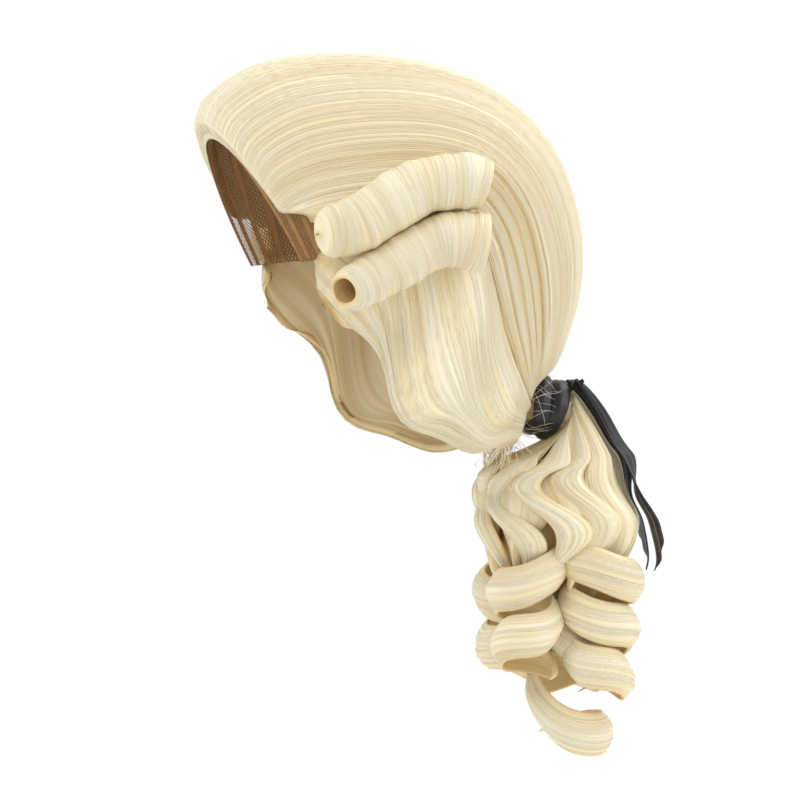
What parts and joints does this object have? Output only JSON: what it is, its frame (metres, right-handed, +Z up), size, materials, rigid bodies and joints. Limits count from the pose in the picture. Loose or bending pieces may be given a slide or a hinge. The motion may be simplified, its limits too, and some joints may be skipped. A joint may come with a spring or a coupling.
{
  "type": "powdered wig with side rolls and tied queue",
  "caption": "Powdered wig on a net cap, combed back to a black tie at the nape, with two hollow rolls on each side and a curled queue with a ribbon.",
  "frame": {"origin": "inner top of the net cap, where the wig sits on a head", "axes": "+Z up, the face looks along -Y, the wearer's left is +X"},
  "size_m": [0.221, 0.2495, 0.3806],
  "materials": {
    "hair": "fine pale cream-blond fibre with a soft silky sheen",
    "net": "open brown wig net",
    "satin": "black satin ribbon, lightly creased"
  },
  "bodies": {
    "root": {"cap": "net", "crown_hair": "hair", "side_hair_left": "hair", "side_hair_right": "hair", "roll_upper_left": "hair", "roll_upper_right": "hair", "roll_lower_left": "hair", "roll_lower_right": "hair", "tie_band": "satin", "queue": "hair", "ribbon_tail_left": "satin", "ribbon_tail_right": "satin"}
  },
  "joints": []
}
